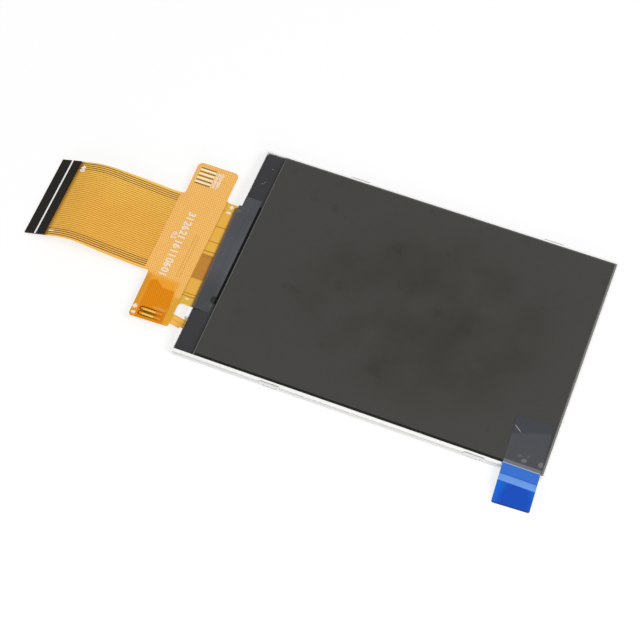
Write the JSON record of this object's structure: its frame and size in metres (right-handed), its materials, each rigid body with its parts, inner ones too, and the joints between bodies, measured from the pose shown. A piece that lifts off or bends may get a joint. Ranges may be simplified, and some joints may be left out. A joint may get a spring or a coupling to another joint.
{
  "type": "tft display module",
  "caption": "Flat liquid-crystal display panel on an edge-lit backlight in a folded steel tray, with a flexible circuit tail and a blue pull tab.",
  "frame": {"origin": "centre of the steel tray's back face", "axes": "+X along the long side, away from the flexible circuit; +Z out of the back face, towards the viewer of the display"},
  "size_m": [0.1249, 0.0622, 0.0037],
  "materials": {
    "tray_steel": "bright rolled sheet",
    "white_plastic": "smooth moulded",
    "reflector_white": "bright film",
    "clear_acrylic": "polished",
    "diffuser_white": "matt film",
    "prism_clear": "fine ribbed film",
    "black_tape": "matt film",
    "amber_film": "satin polyimide",
    "lamp_body": "moulded resin",
    "polarizer_dark": "satin film",
    "panel_glass": "polished, cut edges",
    "cover_film": "satin film with faint clouding",
    "chip_silicon": "polished",
    "bond_resin": "cured film",
    "track_copper": "under amber film",
    "finger_gold": "gold plated",
    "stiffener_black": "satin",
    "solder": "reflowed",
    "grey_tape": "satin film",
    "blue_film": "translucent film"
  },
  "bodies": {
    "root": {"steel_tray": "tray_steel", "moulded_frame": "white_plastic", "reflector_film": "reflector_white", "light_guide": "clear_acrylic", "diffuser_film": "diffuser_white", "lower_prism_film": "prism_clear", "upper_prism_film": "prism_clear", "rim_tape": "black_tape", "lamp_flex": "amber_film", "lamp_1": "lamp_body", "lamp_2": "lamp_body", "lamp_3": "lamp_body", "lamp_4": "lamp_body", "lamp_5": "lamp_body", "lamp_6": "lamp_body", "rear_polarizer": "polarizer_dark", "rear_glass": "panel_glass", "front_glass": "panel_glass", "front_polarizer": "polarizer_dark", "cover_film": "cover_film", "driver_chip": "chip_silicon", "bond_film": "bond_resin", "main_flex": "amber_film", "copper_tracks": "track_copper", "contact_fingers": "finger_gold", "tail_stiffener": "stiffener_black", "test_pads": "finger_gold", "solder_joints": "solder", "ledge_tape": "grey_tape", "pull_tab": "blue_film"}
  },
  "joints": []
}
